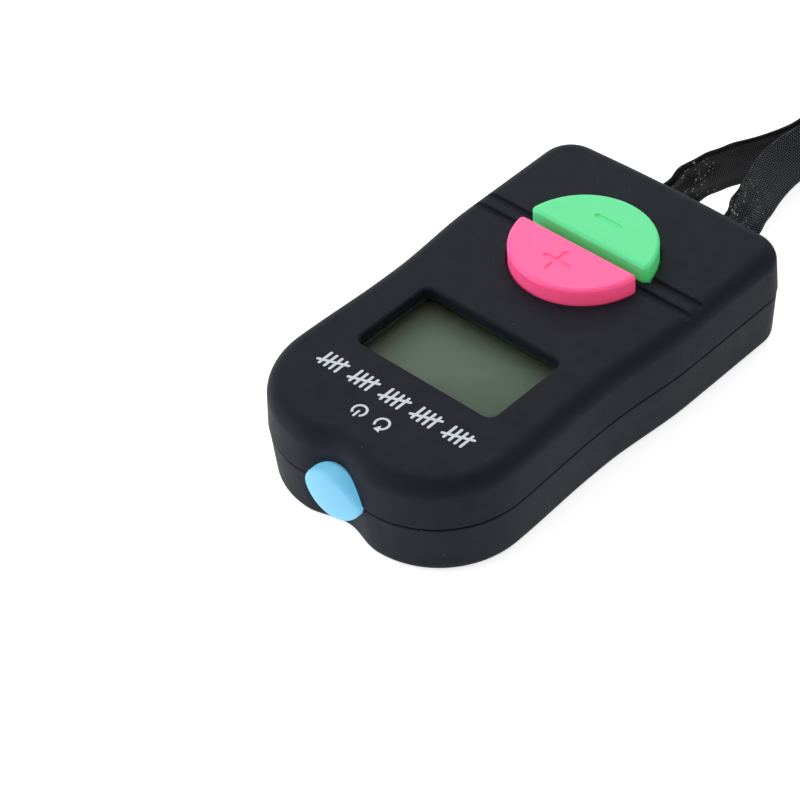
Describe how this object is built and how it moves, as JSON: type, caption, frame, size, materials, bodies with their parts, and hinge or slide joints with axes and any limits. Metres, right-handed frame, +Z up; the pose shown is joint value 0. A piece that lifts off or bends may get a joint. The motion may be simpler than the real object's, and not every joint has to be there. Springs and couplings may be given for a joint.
{
  "type": "hand tally counter",
  "caption": "palm-sized electronic tally counter with plus and minus half-round keys, a reset key, a small blank display and a neck lanyard",
  "frame": {"origin": "bottom centre of the counter without its lanyard", "axes": "X across the width, +Y along the length towards the lanyard end, +Z up out of the face with the keys and the display"},
  "size_m": [0.062, 0.192, 0.0155],
  "materials": {
    "case_soft_touch": "soft-touch matte",
    "key_pink": "satin",
    "key_green": "satin",
    "key_blue": "satin",
    "white_plastic": "plain",
    "black_plastic": "plain",
    "display_glass": "grey-green, blank",
    "display_film": "thin film",
    "reflector_film": "silver film",
    "zebra_rubber": "plain",
    "board": "glass-epoxy laminate with green mask",
    "steel": "plated",
    "contact": "plated strip",
    "epoxy": "potting drop",
    "ceramic": "fired, bare",
    "ribbon": "woven satin"
  },
  "bodies": {
    "case": {"upper_case": "case_soft_touch", "lower_case": "case_soft_touch", "lcd_holder": "white_plastic", "lcd_panel": "display_glass", "lcd_polariser": "display_film", "lcd_reflector": "reflector_film", "zebra_strip": "zebra_rubber", "circuit_board": "board", "controller_chip": "epoxy", "crystal": "steel", "capacitor": "ceramic", "resistor": "black_plastic", "button_cell": "steel", "negative_contact": "contact", "positive_contact": "contact", "reset_switch_body": "black_plastic", "lanyard_ribbon": "ribbon", "lanyard_bight": "ribbon", "lanyard_hank": "ribbon", "lanyard_tie_1": "black_plastic", "lanyard_tie_2": "black_plastic", "plus_switch_body": "black_plastic", "plus_switch_cover": "steel", "minus_switch_body": "black_plastic", "minus_switch_cover": "steel", "case_screw_1": "steel", "board_screw_1": "steel", "case_screw_2": "steel", "board_screw_2": "steel", "case_screw_3": "steel", "board_screw_3": "steel", "case_screw_4": "steel", "board_screw_4": "steel"},
    "plus_key": {"plus_button": "key_pink", "plus_switch_plunger": "black_plastic", "plus_switch_dome": "steel"},
    "minus_key": {"minus_button": "key_green", "minus_switch_plunger": "black_plastic", "minus_switch_dome": "steel"},
    "reset_key": {"reset_button": "key_blue", "reset_switch_plunger": "white_plastic"},
    "cell_cap": {"battery_cap": "case_soft_touch"}
  },
  "joints": [
    {"name": "plus_press", "type": "slide", "parent": "case", "child": "plus_key", "axis": [0, 0, -1], "range_m": [0, 0.0005], "stiffness_N_per_m": 2000, "springref_m": -0.0003, "deforming": ["plus_switch_dome"]},
    {"name": "minus_press", "type": "slide", "parent": "case", "child": "minus_key", "axis": [0, 0, -1], "range_m": [0, 0.0005], "stiffness_N_per_m": 2000, "springref_m": -0.0003, "deforming": ["minus_switch_dome"]},
    {"name": "reset_press", "type": "slide", "parent": "case", "child": "reset_key", "axis": [0, 1, 0], "range_m": [0, 0.0008], "stiffness_N_per_m": 2000, "springref_m": -0.0003},
    {"name": "battery_cap_twist", "type": "hinge", "parent": "case", "child": "cell_cap", "pos_m": [0, -0.00735, 0.0008], "axis": [0, 0, 1], "range_deg": [0, 45]}
  ]
}
